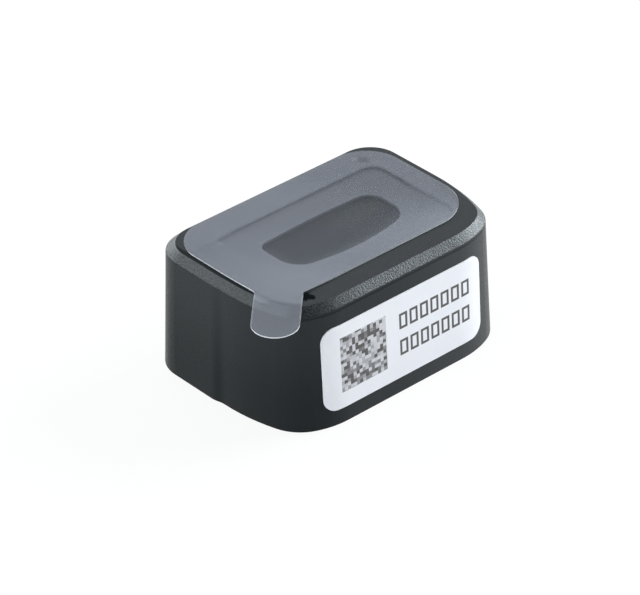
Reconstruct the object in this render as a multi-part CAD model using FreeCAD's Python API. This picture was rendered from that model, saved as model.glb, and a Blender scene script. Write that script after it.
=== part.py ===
import FreeCAD, Part
import math
import os
from FreeCAD import Vector

# Single-point distance sensor: a drafted, chamfered moulded cup about 21 x 15 x 9.5 mm that lies
# on its rear cover with the optics looking up. Millimetres. +Z is the optical axis, +X runs along
# the long side, the label is on the -Y side. The origin is the middle of the rear face.

# Casing
LENGTH = 21.0
WIDTH = 14.92
HEIGHT = 9.45
LEAN = 0.045                 # how far the walls lean in for each millimetre of height
CHAMFER = 0.55
EDGE_RADIUS = 0.15           # moulded softness of the shoulder below the chamfer
BACK_CORNER_RADIUS = 2.9
TOP_CORNER_GAIN = 0.3        # back corners are this much rounder at the optical face
STEP_DEPTH = 0.18            # the left side's front half lies this much further in at the rear
STEP_TOP_DEPTH = 0.05        # and this much from the shoulder up
STEP_START_Y = -0.47
STEP_END_Y = 0.68
LEAD_RADIUS = 15.0           # three-centred front corners: long lead-in, tight middle, blend
TIGHT_TURN = 48.5
LEFT_CORNER = (17.5, 3.2)    # turn of the lead-in, radius of the tight middle
RIGHT_CORNER = (18.5, 3.33)
RIGHT_LEAD_Y = -0.13         # the right side runs straight from here back
TOP_WALL = 1.2
SIDE_WALL = 1.4
BOARD_WALL = 1.0             # wall left beside the board's ledge
COVER_WALL = 0.6             # wall left beside the cover's ledge

# Rear cover and board
COVER_THICKNESS = 0.9
COVER_GAP = 0.05
OPENING_WIDTH = 8.0          # cut in the cover round the socket
OPENING_MARGIN = 0.55
OPENING_CORNER = 0.5
RIB_WIDTH = 0.6              # cover ribs that clamp the board
RIB_LENGTH = 2.0
FRONT_RIB_X = (-5.0, 0.0, 5.0)
FRONT_RIB_Y = -5.3
SIDE_RIB_X = (-7.0, 7.0)
SIDE_RIB_Y = 1.2
BOARD_REAR_Z = 1.5
BOARD_THICKNESS = 0.8
BOARD_GAP = 0.1
BOARD_HOLE_GAP = 0.15

# Window
WINDOW_CENTRE_Y = -0.35
WINDOW_LENGTH = 10.25
WINDOW_BACK_Y = 1.96         # crown of the back long side
WINDOW_FRONT_Y = -2.64       # crown of the front long side
WINDOW_BACK_BOW = 0.2
WINDOW_FRONT_BOW = 0.8
WINDOW_FRONT_CORNER = 1.3
WINDOW_KEY_CORNER = 0.7      # one back corner is sharper, so the window fits one way round
WINDOW_BACK_CORNER = 1.2
WINDOW_GAP = 0.06
WINDOW_DEPTH = 0.35          # window face below the casing's top
WINDOW_BEVEL = 0.08
POCKET_DEPTH = 0.15          # shallow recess round the window
POCKET_X = 7.5
POCKET_BACK_Y = 4.08
POCKET_FRONT_Y = -4.57
POCKET_RADIUS = 1.3
FLANGE_LENGTH = 12.2
FLANGE_WIDTH = 6.6
FLANGE_THICKNESS = 0.7
FLANGE_RADIUS = 1.2
TAPE_THICKNESS = 0.1

# Optics
HOLDER_LENGTH = 11.6
HOLDER_WIDTH = 6.2
HOLDER_RADIUS = 0.8
HOLDER_TOP_Z = 6.6
SEAL_INSET = 0.3
SEAL_RADIUS = 0.9
TRANSMIT_X = -2.55
RECEIVE_X = 2.1
TRANSMIT_LENS_RADIUS = 1.75
RECEIVE_LENS_RADIUS = 2.25
TRANSMIT_CROWN = 0.4
RECEIVE_CROWN = 0.5
LENS_RIM = 0.55
LENS_RIM_WIDTH = 0.3
LENS_SEAT_Z = 5.2
LENS_SEAT_WIDTH = 0.55
LENS_GAP = 0.03
FILTER_SIDE = 3.3
FILTER_THICKNESS = 0.45
FILTER_TOP_Z = 3.9
FILTER_GAP = 0.05
CHIP_BAY_SIDE = 4.0          # room in the holder over the receiver chip
CHIP_BAY_TOP_Z = 3.4
EMITTER_BAY_SIDE = 2.8
PEG_RADIUS = 0.4             # pegs that place the holder on the board
PEG_LENGTH = 0.6
PEG_INSET = 0.9
PEG_GAP = 0.05

# Screws
SCREW_SPOTS = [(-7.5, 4.5), (7.4, -4.2)]
SCREW_RADIUS = 0.7
SCREW_GAP = 0.01
SCREW_HEAD_RADIUS = 1.2
SCREW_HEAD_HEIGHT = 0.45
SCREW_HEAD_SINK = 0.08
SCREW_HEAD_BEVEL = 0.12
SCREW_HOLE_GAP = 0.1
SCREW_END_Z = 5.2
PILOT_END_Z = 5.5
CROSS_REACH = 0.7
CROSS_HALF = 0.13
CROSS_DEPTH = 0.28
CROSS_ANGLE = 20.0
BOSS_RADIUS = 1.5

# Flat-cable socket on the rear of the board, mouth towards +Y
SOCKET_LENGTH = 6.4
SOCKET_BACK_Y = 1.7
SOCKET_MOUTH_Y = 5.5
SOCKET_HEIGHT = 1.0
SOCKET_FLOOR = 0.3           # moulding between the board and the cable slot
SLOT_HEIGHT = 0.32
CABLE_WIDTH = 3.57
CONTACT_COUNT = 6
CONTACT_PITCH = 0.5
CONTACT_WIDTH = 0.2
CONTACT_THICKNESS = 0.12
CONTACT_GAP = 0.02
CONTACT_TAIL = 0.45          # how far the solder tails reach behind the moulding
ANCHOR_Y = (4.1, 5.1)
ANCHOR_REACH = 0.45
ANCHOR_THICKNESS = 0.15
ANCHOR_HEIGHT = 0.6
LATCH_LENGTH = 5.4
LATCH_PIVOT_Y = 3.15
LATCH_PIVOT_DEPTH = 0.32     # shaft centre below the socket's outer face
LATCH_SHAFT_RADIUS = 0.22
LATCH_BARREL_RADIUS = 0.32
LATCH_PIN_GAP = 0.03
LATCH_SIDE_GAP = 0.1
LATCH_LIP_RADIUS = 0.12
CABLE_NOTCH_WIDTH = 5.2      # way out for the cable through the rear edge of the +Y wall

# Small parts on the board
LEADLESS_LENGTH = 1.0
LEADLESS_WIDTH = 0.5
LEADLESS_CAP = 0.25
LEADLESS_CAP_PROUD = 0.02
CAPACITOR_HEIGHT = 0.5
RESISTOR_HEIGHT = 0.35
REAR_CAPACITOR_HEIGHT = 0.4
FRONT_CAPACITORS_X = (-6.0, -4.2, -2.4, -0.6, 1.2, 3.0)
FRONT_CAPACITORS_Y = -5.2
RESISTORS_ALONG = [(-5.0, -4.2), (-3.4, -4.2), (-1.8, -4.2)]
RESISTORS_ACROSS = [(6.6, 3.2), (7.6, 3.2)]
REAR_CAPACITORS = [(-5.6, -2.6), (-5.6, -1.4), (5.6, -2.6), (5.6, -1.4)]
RECEIVER_CHIP_SIZE = (3.2, 2.4, 0.7)
CONTROLLER_SPOT = (7.25, 0.4)
CONTROLLER_SIZE = (2.6, 2.6, 0.75)
DRIVER_SPOT = (-7.4, -1.2)
DRIVER_SIZE = (2.0, 2.0, 0.6)
CRYSTAL_SPOT = (4.4, 4.6)
CRYSTAL_SIZE = (2.0, 1.6, 0.5)
PACKAGE_BEVEL = 0.1
EMITTER_SIZE = (1.8, 1.5, 0.8)
EMITTER_WALL = 0.25
EMITTER_FLOOR = 0.35
DIE_SIZE = (0.5, 0.4, 0.2)
REGULATOR_SPOT = (0.6, 4.4)
REGULATOR_SIZE = (2.9, 1.6, 1.0)
REGULATOR_LIFT = 0.1
REGULATOR_SPAN = 2.7         # across the tips of its leads
LEAD_WIDTH = 0.4
LEAD_THICKNESS = 0.15
LEAD_PITCH = 0.95
INDUCTOR_SPOT = (-3.6, 4.5)
INDUCTOR_SIZE = (2.5, 2.0, 1.2)
INDUCTOR_FLANGE = 0.35
INDUCTOR_CORNER = 0.3
INDUCTOR_WAIST_RADIUS = 0.85

# Label and film
LABEL_THICKNESS = 0.08
LABEL_LEFT_X = -7.3
LABEL_RIGHT_X = 7.0
LABEL_LOW_Z = 1.2
LABEL_HIGH_Z = 7.6
LABEL_RADIUS = 1.0
FILM_THICKNESS = 0.08
FILM_LEFT_X = -9.22
FILM_RIGHT_X = 9.12
FILM_FRONT_Y = -4.84
FILM_BACK_Y = 6.41
FILM_BACK_CORNER = 2.9
FILM_FRONT_CORNER = 3.5
TAB_WIDTH = 3.2
TAB_REACH = 5.0
TAB_ROOT_X = -8.2
TAB_ROOT_Y = -3.9
TAB_HEADING = 225.0          # the tab leaves the near left corner on the diagonal

# Sizes that follow
SHOULDER_Z = HEIGHT - CHAMFER
TOP_INNER_Z = HEIGHT - TOP_WALL
BOARD_FRONT_Z = BOARD_REAR_Z + BOARD_THICKNESS
WINDOW_FACE_Z = HEIGHT - WINDOW_DEPTH
FLANGE_TOP_Z = TOP_INNER_Z - TAPE_THICKNESS
FLANGE_LOW_Z = FLANGE_TOP_Z - FLANGE_THICKNESS
SOCKET_OUTER_Z = BOARD_REAR_Z - SOCKET_HEIGHT
SOCKET_FLOOR_Z = BOARD_REAR_Z - SOCKET_FLOOR
LATCH_PIVOT_Z = SOCKET_OUTER_Z + LATCH_PIVOT_DEPTH
BARRELS = ((TRANSMIT_X, TRANSMIT_LENS_RADIUS), (RECEIVE_X, RECEIVE_LENS_RADIUS))
CLEAR = 1.0                  # how far a cutter runs past the face that it opens
BITE = 0.1                   # how far one form runs into the next where they are fused
SAME = 1e-6                  # lengths closer than this are taken as equal
ORIGIN = Vector(0, 0, 0)
UP = Vector(0, 0, 1)
ALONG = Vector(1, 0, 0)


def line(start, end):
    return Part.LineSegment(start, end).toShape()


def prism(wire, height):
    """Solid between a flat closed wire and its copy that much higher."""
    return Part.Face(wire).extrude(UP * height)


def block(x0, x1, y0, y1, z0, z1):
    """Box between two corners; each pair of limits may come in either order."""
    low = Vector(min(x0, x1), min(y0, y1), min(z0, z1))
    return Part.makeBox(abs(x1 - x0), abs(y1 - y0), abs(z1 - z0), low)


def centred_block(x, y, length, width, z0, z1):
    return block(x - length / 2, x + length / 2, y - width / 2, y + width / 2, z0, z1)


def rod(radius, x, y, z0, z1):
    return Part.makeCylinder(radius, z1 - z0, Vector(x, y, z0), UP)


def shaft(radius, length, y, z):
    """Round bar along X, centred on x = 0."""
    return Part.makeCylinder(radius, length, Vector(-length / 2, y, z), ALONG)


def upright_edges(solid):
    picked = []
    for edge in solid.Edges:
        box = edge.BoundBox
        if box.XLength < SAME and box.YLength < SAME:
            picked.append(edge)
    return picked


def edges_at_height(solid, z):
    """Edges that lie flat at height z."""
    return [e for e in solid.Edges if abs(e.BoundBox.ZMin - z) < SAME and e.BoundBox.ZLength < SAME]


def rounded_block(x0, x1, y0, y1, z0, z1, radius):
    """Block whose four upright edges are rounded."""
    solid = block(x0, x1, y0, y1, z0, z1)
    return solid.makeFillet(radius, upright_edges(solid))


def arc_from(pen, heading, radius, turn):
    """Arc that leaves pen at heading (degrees) and turns left, or right if turn is negative."""
    aim = math.radians(heading)
    left = Vector(-math.sin(aim), math.cos(aim), 0)
    centre = pen + left * math.copysign(radius, turn)

    def swung(angle):
        spoke = pen - centre
        swing = math.radians(angle)
        return centre + Vector(spoke.x * math.cos(swing) - spoke.y * math.sin(swing),
                               spoke.x * math.sin(swing) + spoke.y * math.cos(swing), 0)

    end = swung(turn)
    return Part.Arc(pen, swung(turn / 2), end).toShape(), end


def front_corner(lead_turn, tight_radius, end_y):
    """How far in a front corner starts, and its three arcs from front to side as (radius, turn)."""
    lead = math.radians(lead_turn)
    tight = math.radians(lead_turn + TIGHT_TURN)
    lead_drop = LEAD_RADIUS * math.sin(lead)
    tight_drop = tight_radius * (math.sin(tight) - math.sin(lead))
    blend_drop = WIDTH / 2 + end_y - lead_drop - tight_drop
    blend_radius = blend_drop / (1 - math.sin(tight))
    start_in = (LEAD_RADIUS * (1 - math.cos(lead))
                + tight_radius * (math.cos(lead) - math.cos(tight))
                + blend_radius * math.cos(tight))
    blend_turn = 90 - lead_turn - TIGHT_TURN
    return start_in, [(blend_radius, blend_turn), (tight_radius, TIGHT_TURN), (LEAD_RADIUS, lead_turn)]


def side_step(depth):
    """S-shaped step from the left side's full width down to its front half, as two arcs."""
    step_length = STEP_END_Y - STEP_START_Y
    step_turn = 2 * math.degrees(math.atan2(depth, step_length))
    step_radius = step_length / 2 / math.sin(math.radians(step_turn))
    return [(step_radius, step_turn), (step_radius, -step_turn)]


def outline(inset, z, step_depth=STEP_DEPTH, corner_gain=0.0):
    """The casing's plan outline moved in by inset, as a closed wire at height z. It is drawn
    from arcs of (radius, turn) and straight stretches of (run, 0)."""
    left_in, left_arcs = front_corner(*LEFT_CORNER, STEP_START_Y)
    right_in, right_arcs = front_corner(*RIGHT_CORNER, RIGHT_LEAD_Y)
    back_radius = BACK_CORNER_RADIUS + corner_gain
    back_corner = [(back_radius, 90)]
    run_to_back = WIDTH / 2 - back_radius
    right_side = [(run_to_back - RIGHT_LEAD_Y, 0)]
    left_side = [(run_to_back - STEP_END_Y, 0)]
    front = [(LENGTH - step_depth - left_in - right_in, 0)]
    back = [(LENGTH - 2 * back_radius, 0)]
    path = (front + right_arcs + right_side + back_corner
            + back + back_corner + left_side + side_step(step_depth) + left_arcs[::-1])
    start = Vector(-LENGTH / 2 + step_depth + left_in, -WIDTH / 2 + inset, z)
    pen = start
    heading = 0.0
    edges = []
    for size, turn in path:
        if turn == 0:
            aim = math.radians(heading)
            end = pen + Vector(math.cos(aim), math.sin(aim), 0) * size
            edges.append(line(pen, end))
        else:
            edge, end = arc_from(pen, heading, size - math.copysign(inset, turn), turn)
            edges.append(edge)
            heading += turn
        pen = end
    if pen.distanceToPoint(start) > SAME:
        raise ValueError("the casing outline does not close")
    return Part.Wire(edges)


def between(low, high):
    """Solid between two outlines, with straight leaning walls."""
    return Part.makeLoft([low, high], True, True)


def casing_outside(grow=0.0):
    """Outer form of the cup, or a skin that much larger: leaning walls, then the chamfer."""
    inset = LEAN * SHOULDER_Z - grow
    foot = outline(-grow, 0)
    shoulder = outline(inset, SHOULDER_Z, STEP_TOP_DEPTH)
    top = outline(inset + CHAMFER, HEIGHT, STEP_TOP_DEPTH, TOP_CORNER_GAIN)
    return between(foot, shoulder).fuse(between(shoulder, top)).removeSplitter()


def round_corner(solid, radius, x, y):
    """Round the upright edge that stands at x, y."""
    corner = [e for e in upright_edges(solid)
              if abs(e.BoundBox.XMin - x) < SAME and abs(e.BoundBox.YMin - y) < SAME]
    return solid.makeFillet(radius, corner)


def window_prism(inset, z0, z1):
    """Barrel-shaped plug: bowed long sides, straight short sides, round corners, one sharper."""
    half = WINDOW_LENGTH / 2
    back_y = WINDOW_BACK_Y - WINDOW_BACK_BOW
    front_y = WINDOW_FRONT_Y + WINDOW_FRONT_BOW
    back_right = Vector(half, back_y, z0)
    back_left = Vector(-half, back_y, z0)
    front_right = Vector(half, front_y, z0)
    front_left = Vector(-half, front_y, z0)
    sides = [Part.Arc(front_left, Vector(0, WINDOW_FRONT_Y, z0), front_right).toShape(),
             line(front_right, back_right),
             Part.Arc(back_right, Vector(0, WINDOW_BACK_Y, z0), back_left).toShape(),
             line(back_left, front_left)]
    solid = prism(Part.Wire(sides), z1 - z0)
    for radius, x, y in ((WINDOW_FRONT_CORNER, -half, front_y), (WINDOW_FRONT_CORNER, half, front_y),
                         (WINDOW_KEY_CORNER, -half, back_y), (WINDOW_BACK_CORNER, half, back_y)):
        solid = round_corner(solid, radius, x, y)
    if inset:
        floor = [f for f in solid.Faces if abs(f.BoundBox.ZMax - z0) < SAME][0]
        solid = prism(floor.OuterWire.makeOffset2D(-inset), z1 - z0)
    return solid


def flange_block(low_z, high_z):
    """Round-cornered plate behind the window's opening."""
    return rounded_block(-FLANGE_LENGTH / 2, FLANGE_LENGTH / 2,
                         WINDOW_CENTRE_Y - FLANGE_WIDTH / 2, WINDOW_CENTRE_Y + FLANGE_WIDTH / 2,
                         low_z, high_z, FLANGE_RADIUS)


def top_housing():
    """Moulded cup: ledges for cover and board, two screw bosses, recess and window opening."""
    cup = casing_outside()
    cup = cup.makeFillet(EDGE_RADIUS, edges_at_height(cup, SHOULDER_Z))
    cover_bay = prism(outline(COVER_WALL, -CLEAR), CLEAR + COVER_THICKNESS)
    board_bay = prism(outline(BOARD_WALL, 0), BOARD_FRONT_Z)
    room = between(outline(SIDE_WALL + LEAN * BOARD_FRONT_Z, BOARD_FRONT_Z),
                   outline(SIDE_WALL + LEAN * TOP_INNER_Z, TOP_INNER_Z))
    for x, y in SCREW_SPOTS:
        room = room.cut(rod(BOSS_RADIUS, x, y, BOARD_FRONT_Z, TOP_INNER_Z + CLEAR))
    cup = cup.cut(cover_bay.fuse(board_bay).fuse(room))
    for x, y in SCREW_SPOTS:
        cup = cup.cut(rod(SCREW_RADIUS, x, y, BOARD_FRONT_Z - CLEAR, PILOT_END_Z))
    pocket = rounded_block(-POCKET_X, POCKET_X, POCKET_FRONT_Y, POCKET_BACK_Y,
                           HEIGHT - POCKET_DEPTH, HEIGHT + CLEAR, POCKET_RADIUS)
    window_way = window_prism(0, TOP_INNER_Z - CLEAR, HEIGHT + CLEAR)
    cable_way = block(-CABLE_NOTCH_WIDTH / 2, CABLE_NOTCH_WIDTH / 2,
                      WIDTH / 2 - 2 * BOARD_WALL, WIDTH / 2 + CLEAR, -CLEAR, BOARD_REAR_Z)
    return cup.cut(pocket).cut(window_way).cut(cable_way)


def rear_cover():
    """Flat plate with a cut round the socket, ribs up to the board and sunk screw seats."""
    plate = prism(outline(COVER_WALL + COVER_GAP, 0), COVER_THICKNESS)
    opening = block(-OPENING_WIDTH / 2, OPENING_WIDTH / 2, SOCKET_BACK_Y - OPENING_MARGIN, WIDTH,
                    -CLEAR, COVER_THICKNESS + CLEAR)
    inner_corners = [e for e in upright_edges(opening) if e.BoundBox.YMin < SOCKET_BACK_Y]
    plate = plate.cut(opening.makeFillet(OPENING_CORNER, inner_corners))
    for x in FRONT_RIB_X:
        plate = plate.fuse(centred_block(x, FRONT_RIB_Y, RIB_LENGTH, RIB_WIDTH,
                                         COVER_THICKNESS - BITE, BOARD_REAR_Z))
    for x in SIDE_RIB_X:
        plate = plate.fuse(centred_block(x, SIDE_RIB_Y, RIB_WIDTH, RIB_LENGTH,
                                         COVER_THICKNESS - BITE, BOARD_REAR_Z))
    for x, y in SCREW_SPOTS:
        plate = plate.cut(rod(SCREW_RADIUS + SCREW_HOLE_GAP, x, y, -CLEAR, COVER_THICKNESS + CLEAR))
        plate = plate.cut(rod(SCREW_HEAD_RADIUS + SCREW_HOLE_GAP, x, y, -CLEAR,
                              SCREW_HEAD_SINK + SCREW_HEAD_HEIGHT))
    return plate.removeSplitter()


def case_screw(x, y):
    """Self-tapping screw with a bevelled flat head and a cross recess; its threads are left plain."""
    head_top = SCREW_HEAD_SINK + SCREW_HEAD_HEIGHT
    head = rod(SCREW_HEAD_RADIUS, 0, 0, SCREW_HEAD_SINK, head_top)
    head = head.makeChamfer(SCREW_HEAD_BEVEL, edges_at_height(head, SCREW_HEAD_SINK))
    shank = rod(SCREW_RADIUS - SCREW_GAP, 0, 0, head_top, SCREW_END_Z)
    recess_end = SCREW_HEAD_SINK + CROSS_DEPTH
    cross = block(-CROSS_REACH, CROSS_REACH, -CROSS_HALF, CROSS_HALF, -CLEAR, recess_end)
    cross = cross.fuse(block(-CROSS_HALF, CROSS_HALF, -CROSS_REACH, CROSS_REACH, -CLEAR, recess_end))
    screw = head.fuse(shank).cut(cross).removeSplitter()
    screw.rotate(ORIGIN, UP, CROSS_ANGLE)
    screw.translate(Vector(x, y, 0))
    return screw


def case_screws():
    return Part.makeCompound([case_screw(x, y) for x, y in SCREW_SPOTS])


def window_tape():
    """Die-cut ring of adhesive between the window's flange and the top wall."""
    return flange_block(FLANGE_TOP_Z, TOP_INNER_Z).cut(
        window_prism(0, FLANGE_TOP_Z - CLEAR, TOP_INNER_Z + CLEAR))


def ir_window():
    """Infrared window: a plug that fills the opening, on a wider flange behind the top wall."""
    plug = window_prism(WINDOW_GAP, FLANGE_TOP_Z - BITE, WINDOW_FACE_Z)
    plug = plug.makeChamfer(WINDOW_BEVEL, edges_at_height(plug, WINDOW_FACE_Z))
    return flange_block(FLANGE_LOW_Z, FLANGE_TOP_Z).fuse(plug).removeSplitter()


def light_seal():
    """Foam pad with two round holes, squeezed between the lens holder and the window."""
    half_length = HOLDER_LENGTH / 2 - SEAL_INSET
    half_width = HOLDER_WIDTH / 2 - SEAL_INSET
    seal = rounded_block(-half_length, half_length, WINDOW_CENTRE_Y - half_width,
                         WINDOW_CENTRE_Y + half_width, HOLDER_TOP_Z, FLANGE_LOW_Z, SEAL_RADIUS)
    for x, radius in BARRELS:
        seal = seal.cut(rod(radius + LENS_GAP, x, WINDOW_CENTRE_Y,
                            HOLDER_TOP_Z - CLEAR, FLANGE_LOW_Z + CLEAR))
    return seal


def optics_holder():
    """Block with two stepped barrels and the wall between them, pegged to the board."""
    y = WINDOW_CENTRE_Y
    holder = rounded_block(-HOLDER_LENGTH / 2, HOLDER_LENGTH / 2, y - HOLDER_WIDTH / 2,
                           y + HOLDER_WIDTH / 2, BOARD_FRONT_Z, HOLDER_TOP_Z, HOLDER_RADIUS)
    for x, radius in BARRELS:
        holder = holder.cut(rod(radius + LENS_GAP, x, y, LENS_SEAT_Z, HOLDER_TOP_Z + CLEAR))
        holder = holder.cut(rod(radius - LENS_SEAT_WIDTH, x, y, BOARD_FRONT_Z, LENS_SEAT_Z + BITE))
    filter_bay = FILTER_SIDE + 2 * FILTER_GAP
    low_z = BOARD_FRONT_Z - CLEAR
    for x, side, top_z in ((RECEIVE_X, filter_bay, FILTER_TOP_Z),
                           (RECEIVE_X, CHIP_BAY_SIDE, CHIP_BAY_TOP_Z),
                           (TRANSMIT_X, EMITTER_BAY_SIDE, FILTER_TOP_Z)):
        holder = holder.cut(centred_block(x, y, side, side, low_z, top_z))
    for x in (-HOLDER_LENGTH / 2 + PEG_INSET, HOLDER_LENGTH / 2 - PEG_INSET):
        holder = holder.fuse(rod(PEG_RADIUS, x, y, BOARD_FRONT_Z - PEG_LENGTH, BOARD_FRONT_Z + BITE))
    return holder.removeSplitter()


def lens(x, radius, crown):
    """Plano-convex lens with a flat rim that drops on the holder's seat."""
    y = WINDOW_CENTRE_Y
    rim_top = LENS_SEAT_Z + LENS_RIM
    clear = radius - LENS_RIM_WIDTH
    ball_radius = (clear ** 2 + crown ** 2) / (2 * crown)
    rim = rod(radius, x, y, LENS_SEAT_Z, rim_top)
    ball = Part.makeSphere(ball_radius, Vector(x, y, rim_top + crown - ball_radius))
    cap = ball.common(rod(radius, x, y, rim_top - BITE / 2, rim_top + crown + CLEAR))
    return rim.fuse(cap).removeSplitter()


def transmit_lens():
    return lens(TRANSMIT_X, TRANSMIT_LENS_RADIUS, TRANSMIT_CROWN)


def receive_lens():
    return lens(RECEIVE_X, RECEIVE_LENS_RADIUS, RECEIVE_CROWN)


def receive_filter():
    return centred_block(RECEIVE_X, WINDOW_CENTRE_Y, FILTER_SIDE, FILTER_SIDE,
                         FILTER_TOP_Z - FILTER_THICKNESS, FILTER_TOP_Z)


def main_board():
    board = prism(outline(BOARD_WALL + BOARD_GAP, BOARD_REAR_Z), BOARD_THICKNESS)
    low_z = BOARD_REAR_Z - CLEAR
    high_z = BOARD_FRONT_Z + CLEAR
    for x, y in SCREW_SPOTS:
        board = board.cut(rod(SCREW_RADIUS + BOARD_HOLE_GAP, x, y, low_z, high_z))
    for x in (-HOLDER_LENGTH / 2 + PEG_INSET, HOLDER_LENGTH / 2 - PEG_INSET):
        board = board.cut(rod(PEG_RADIUS + PEG_GAP, x, WINDOW_CENTRE_Y, low_z, high_z))
    return board


def chip(spot, size, bevel=0.0):
    """Flat package on the board's front face, with its top edges bevelled."""
    x, y = spot
    length, width, height = size
    top_z = BOARD_FRONT_Z + height
    body = centred_block(x, y, length, width, BOARD_FRONT_Z, top_z)
    if bevel:
        body = body.makeChamfer(bevel, edges_at_height(body, top_z))
    return body


def receiver_chip():
    return chip((RECEIVE_X, WINDOW_CENTRE_Y), RECEIVER_CHIP_SIZE)


def controller_chip():
    return chip(CONTROLLER_SPOT, CONTROLLER_SIZE, PACKAGE_BEVEL)


def laser_driver():
    return chip(DRIVER_SPOT, DRIVER_SIZE, PACKAGE_BEVEL)


def clock_crystal():
    return chip(CRYSTAL_SPOT, CRYSTAL_SIZE, PACKAGE_BEVEL)


def laser_emitter():
    """Open ceramic tray with the laser die on its floor."""
    x = TRANSMIT_X
    y = WINDOW_CENTRE_Y
    length, width = EMITTER_SIZE[:2]
    floor_z = BOARD_FRONT_Z + EMITTER_FLOOR
    tray = chip((x, y), EMITTER_SIZE)
    tray = tray.cut(centred_block(x, y, length - 2 * EMITTER_WALL, width - 2 * EMITTER_WALL,
                                  floor_z, floor_z + CLEAR))
    die_length, die_width, die_height = DIE_SIZE
    die = centred_block(x, y, die_length, die_width, floor_z - BITE / 2, floor_z + die_height)
    return tray.fuse(die).removeSplitter()


def voltage_regulator():
    """Five-lead package: moulded body over gull-wing leads, two on one side and three on the other."""
    x, y = REGULATOR_SPOT
    length, width, height = REGULATOR_SIZE
    low_z = BOARD_FRONT_Z + REGULATOR_LIFT
    package = centred_block(x, y, length, width, low_z, low_z + height)
    package = package.makeChamfer(LEAD_THICKNESS, edges_at_height(package, low_z + height))
    knee = width / 2 + LEAD_THICKNESS
    for side, places in ((-1, (-LEAD_PITCH, 0, LEAD_PITCH)), (1, (-LEAD_PITCH, LEAD_PITCH))):
        for place in places:
            x0 = x + place - LEAD_WIDTH / 2
            x1 = x + place + LEAD_WIDTH / 2
            root_y = y + side * (width / 2 - BITE)
            foot = block(x0, x1, root_y, y + side * REGULATOR_SPAN / 2,
                         BOARD_FRONT_Z, BOARD_FRONT_Z + LEAD_THICKNESS)
            rise = block(x0, x1, root_y, y + side * knee,
                         BOARD_FRONT_Z, low_z + height / 2)
            package = package.fuse(foot).fuse(rise)
    return package.removeSplitter()


def power_inductor():
    """Drum core: two square flanges with cut corners and a round waist between them."""
    x, y = INDUCTOR_SPOT
    length, width, height = INDUCTOR_SIZE
    waist_z0 = BOARD_FRONT_Z + INDUCTOR_FLANGE
    waist_z1 = BOARD_FRONT_Z + height - INDUCTOR_FLANGE
    core = chip(INDUCTOR_SPOT, INDUCTOR_SIZE)
    core = core.makeChamfer(INDUCTOR_CORNER, upright_edges(core))
    core = core.cut(centred_block(x, y, length + CLEAR, width + CLEAR, waist_z0, waist_z1))
    waist = rod(INDUCTOR_WAIST_RADIUS, x, y, waist_z0 - BITE / 2, waist_z1 + BITE / 2)
    return core.fuse(waist).removeSplitter()


def leadless(x, y, z, height, turned=False):
    """One leadless part: plated end caps a little proud of the middle."""
    half_length = LEADLESS_LENGTH / 2
    half_width = LEADLESS_WIDTH / 2
    core_half_width = half_width - LEADLESS_CAP_PROUD
    solid = block(-half_length + BITE, half_length - BITE, -core_half_width, core_half_width,
                  0, height - LEADLESS_CAP_PROUD)
    for side in (-1, 1):
        solid = solid.fuse(block(side * (half_length - LEADLESS_CAP), side * half_length,
                                 -half_width, half_width, 0, height))
    if turned:
        solid.rotate(ORIGIN, UP, 90)
    solid.translate(Vector(x, y, z))
    return solid.removeSplitter()


def front_capacitors():
    return Part.makeCompound([leadless(x, FRONT_CAPACITORS_Y, BOARD_FRONT_Z, CAPACITOR_HEIGHT)
                              for x in FRONT_CAPACITORS_X])


def front_resistors():
    along = [leadless(x, y, BOARD_FRONT_Z, RESISTOR_HEIGHT) for x, y in RESISTORS_ALONG]
    across = [leadless(x, y, BOARD_FRONT_Z, RESISTOR_HEIGHT, True) for x, y in RESISTORS_ACROSS]
    return Part.makeCompound(along + across)


def rear_capacitors():
    low_z = BOARD_REAR_Z - REAR_CAPACITOR_HEIGHT
    return Part.makeCompound([leadless(x, y, low_z, REAR_CAPACITOR_HEIGHT)
                              for x, y in REAR_CAPACITORS])


def contact_places():
    return [(index - (CONTACT_COUNT - 1) / 2) * CONTACT_PITCH for index in range(CONTACT_COUNT)]


def connector_body():
    """Socket moulding: cable slot, open bay with end cheeks for the flip lever, contact grooves."""
    half = SOCKET_LENGTH / 2
    bay_half = LATCH_LENGTH / 2 + LATCH_SIDE_GAP
    body = block(-half, half, SOCKET_BACK_Y, SOCKET_MOUTH_Y, SOCKET_OUTER_Z, BOARD_REAR_Z)
    body = body.cut(block(-CABLE_WIDTH / 2, CABLE_WIDTH / 2, LATCH_PIVOT_Y, SOCKET_MOUTH_Y + CLEAR,
                          SOCKET_FLOOR_Z - SLOT_HEIGHT, SOCKET_FLOOR_Z))
    body = body.cut(block(-bay_half, bay_half, SOCKET_BACK_Y - CLEAR,
                          LATCH_PIVOT_Y + LATCH_BARREL_RADIUS + LATCH_SHAFT_RADIUS,
                          SOCKET_OUTER_Z - CLEAR, SOCKET_FLOOR_Z))
    cheek = (SOCKET_LENGTH - LATCH_LENGTH) / 2 - LATCH_SIDE_GAP
    body = body.cut(shaft(LATCH_SHAFT_RADIUS + LATCH_PIN_GAP, SOCKET_LENGTH - cheek,
                          LATCH_PIVOT_Y, LATCH_PIVOT_Z))
    for x in contact_places():
        body = body.cut(block(x - CONTACT_WIDTH / 2 - CONTACT_GAP, x + CONTACT_WIDTH / 2 + CONTACT_GAP,
                              SOCKET_BACK_Y - CLEAR, SOCKET_MOUTH_Y - SOCKET_HEIGHT / 2,
                              SOCKET_FLOOR_Z - CONTACT_GAP,
                              SOCKET_FLOOR_Z + CONTACT_THICKNESS + CONTACT_GAP))
    return body.removeSplitter()


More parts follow.
